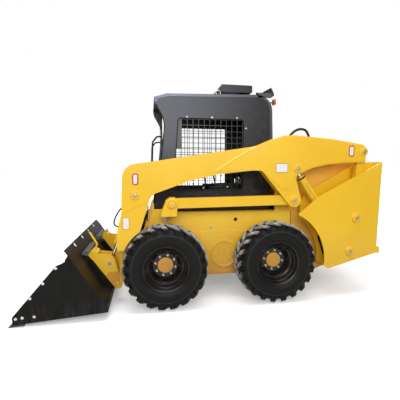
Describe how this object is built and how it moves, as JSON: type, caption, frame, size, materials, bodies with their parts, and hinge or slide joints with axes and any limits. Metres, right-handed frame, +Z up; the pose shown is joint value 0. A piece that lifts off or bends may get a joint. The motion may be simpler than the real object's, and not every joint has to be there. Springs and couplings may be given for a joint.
{
  "type": "skid steer loader",
  "caption": "Vertical-lift skid steer loader with a guarded cab, twin lift arms on paired links, tilting hitch and a smooth-edged bucket.",
  "frame": {"origin": "on the ground below the middle of the machine's length, on its centre plane", "axes": "+X forward to the bucket, +Y to the machine's left, +Z up"},
  "size_m": [3.699, 1.904, 2.318],
  "materials": {
    "machine_yellow": "gloss",
    "cab_charcoal": "satin",
    "tool_black": "satin",
    "rubber_tread": "matt",
    "rim_black": "gloss",
    "hub_ochre": "satin",
    "zinc_pin": "satin",
    "chrome_rod": "polished",
    "black_plastic": "matt",
    "seat_vinyl": "grained",
    "clear_glass": "clear",
    "lamp_lens": "gloss",
    "hose_rubber": "matt",
    "engine_grey": "cast",
    "edge_steel": "worn"
  },
  "bodies": {
    "chassis": {"chassis_sides": "machine_yellow", "deck_ledges": "machine_yellow", "engine_bay_sides": "machine_yellow", "belly_sheet": "machine_yellow", "chain_cases": "machine_yellow", "link_brackets": "machine_yellow", "rear_towers": "machine_yellow", "chassis_pins": "zinc_pin", "engine": "engine_grey", "engine_cover": "machine_yellow", "rear_bumper": "machine_yellow", "door_hinges": "zinc_pin", "cab_sides": "cab_charcoal", "cab_roof": "cab_charcoal", "cab_rear": "cab_charcoal", "rear_glass": "clear_glass", "cab_floor": "cab_charcoal", "window_guards": "black_plastic", "seat_base": "cab_charcoal", "seat_cushions": "seat_vinyl", "control_levers": "black_plastic", "grab_handles": "black_plastic", "roof_unit": "cab_charcoal", "lifting_ring": "zinc_pin", "rear_work_light": "black_plastic", "tail_lamps": "lamp_lens", "cab_hose": "hose_rubber"},
    "rear_door": {"rear_door": "machine_yellow"},
    "lap_bar": {"lap_bar": "black_plastic"},
    "lower_links": {"lower_links": "machine_yellow"},
    "lift_arms": {"lift_arms": "machine_yellow", "arm_cross_tubes": "machine_yellow", "arm_pins": "zinc_pin", "boom_hose": "hose_rubber", "tilt_hoses": "hose_rubber"},
    "rear_links": {"rear_links": "machine_yellow"},
    "lift_barrels": {"lift_barrels": "machine_yellow"},
    "lift_rods": {"lift_rods": "chrome_rod"},
    "tilt_barrels": {"tilt_barrels": "machine_yellow"},
    "tilt_rods": {"tilt_rods": "chrome_rod"},
    "bucket": {"hitch": "machine_yellow", "hitch_levers": "machine_yellow", "bucket": "tool_black", "cutting_edge": "edge_steel"},
    "wheel_front_left": {"tyre_front_left": "rubber_tread", "rim_front_left": "rim_black", "axle_front_left": "hub_ochre"},
    "wheel_front_right": {"tyre_front_right": "rubber_tread", "rim_front_right": "rim_black", "axle_front_right": "hub_ochre"},
    "wheel_rear_left": {"tyre_rear_left": "rubber_tread", "rim_rear_left": "rim_black", "axle_rear_left": "hub_ochre"},
    "wheel_rear_right": {"tyre_rear_right": "rubber_tread", "rim_rear_right": "rim_black", "axle_rear_right": "hub_ochre"}
  },
  "joints": [
    {"name": "lift", "type": "hinge", "parent": "chassis", "child": "lower_links", "pos_m": [0.417, 0, 1.04], "axis": [0, 1, 0], "range_deg": [0, 43.5]},
    {"name": "arm_turn", "type": "hinge", "parent": "lower_links", "child": "lift_arms", "pos_m": [-0.841, 0, 1.058], "axis": [0, 1, 0], "range_deg": [-101.86, 0.5]},
    {"name": "rear_link_turn", "type": "hinge", "parent": "lift_arms", "child": "rear_links", "pos_m": [-1.618, 0, 1.563], "axis": [0, 1, 0], "range_deg": [-0.5, 82.42]},
    {"name": "lift_barrel_turn", "type": "hinge", "parent": "chassis", "child": "lift_barrels", "pos_m": [-1.485, 0, 0.492], "axis": [0, 1, 0], "range_deg": [-10.73, 0.5]},
    {"name": "lift_rod_slide", "type": "slide", "parent": "lift_barrels", "child": "lift_rods", "axis": [0.5685, 0, 0.8227], "range_m": [-0.002, 0.64975]},
    {"name": "tilt", "type": "hinge", "parent": "lift_arms", "child": "bucket", "pos_m": [0.962, 0, 0.212], "axis": [0, 1, 0], "range_deg": [-17, 92]},
    {"name": "tilt_barrel_turn", "type": "hinge", "parent": "lift_arms", "child": "tilt_barrels", "pos_m": [0.764, 0, 1.129], "axis": [0, 1, 0], "range_deg": [-2, 0.78]},
    {"name": "tilt_rod_slide", "type": "slide", "parent": "tilt_barrels", "child": "tilt_rods", "axis": [0.3592, 0, -0.9333], "range_m": [-0.06279, 0.33101]},
    {"name": "rear_door_swing", "type": "hinge", "parent": "chassis", "child": "rear_door", "pos_m": [-1.838, 0.546, 0.95], "axis": [0, 0, -1], "range_deg": [0, 100]},
    {"name": "lap_bar_lift", "type": "hinge", "parent": "chassis", "child": "lap_bar", "pos_m": [-0.59, 0, 1.48], "axis": [0, -1, 0], "range_deg": [0, 70]},
    {"name": "wheel_front_left_spin", "type": "hinge", "parent": "chassis", "child": "wheel_front_left", "pos_m": [0.484, 0.7, 0.4175], "axis": [0, 1, 0], "continuous": true},
    {"name": "wheel_front_right_spin", "type": "hinge", "parent": "chassis", "child": "wheel_front_right", "pos_m": [0.484, -0.7, 0.4175], "axis": [0, 1, 0], "continuous": true},
    {"name": "wheel_rear_left_spin", "type": "hinge", "parent": "chassis", "child": "wheel_rear_left", "pos_m": [-0.65, 0.7, 0.4175], "axis": [0, 1, 0], "continuous": true},
    {"name": "wheel_rear_right_spin", "type": "hinge", "parent": "chassis", "child": "wheel_rear_right", "pos_m": [-0.65, -0.7, 0.4175], "axis": [0, 1, 0], "continuous": true}
  ],
  "couplings": [
    {"joint": "arm_turn", "follows": "lift", "ratio": -2.3301},
    {"joint": "rear_link_turn", "follows": "lift", "ratio": 1.8833},
    {"joint": "lift_barrel_turn", "follows": "lift", "ratio": -0.23511},
    {"joint": "lift_rod_slide", "follows": "lift", "m_per_rad": 0.85317},
    {"joint": "tilt_barrel_turn", "follows": "tilt", "ratio": -0.016318},
    {"joint": "tilt_rod_slide", "follows": "tilt", "m_per_rad": 0.2049}
  ]
}
